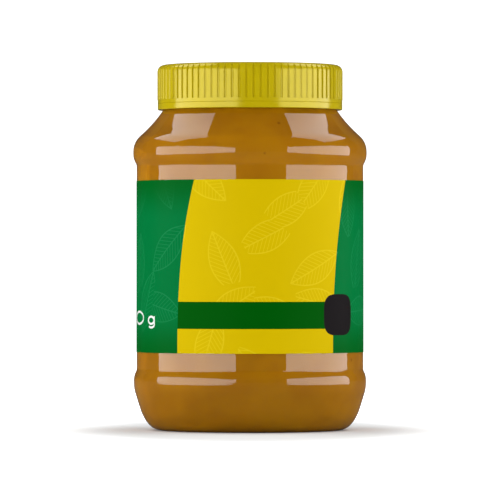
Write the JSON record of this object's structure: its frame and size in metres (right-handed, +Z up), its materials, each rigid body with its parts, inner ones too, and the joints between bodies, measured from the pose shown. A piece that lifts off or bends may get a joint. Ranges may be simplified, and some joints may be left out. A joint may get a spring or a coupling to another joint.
{
  "type": "peanut butter jar",
  "caption": "Clear screw-top jar filled with peanut butter, with a printed wrap-around label on a recessed panel and a ribbed yellow cap.",
  "frame": {"origin": "centre of the base, on the surface the jar stands on", "axes": "+Z up along the jar's axis, -Y out of the middle of the label's front, +X to the right seen from the front"},
  "size_m": [0.085, 0.085, 0.1328],
  "materials": {
    "clear_wall": "clear PET, glossy",
    "peanut_butter": "smooth spread pressed against the wall, faintly mottled",
    "label_film": "printed film, satin gloss, green with a yellow front field",
    "cap_plastic": "moulded polypropylene, glossy yellow"
  },
  "bodies": {
    "root": {"jar": "clear_wall", "peanut_butter": "peanut_butter", "label": "label_film", "cap": "cap_plastic"}
  },
  "joints": []
}
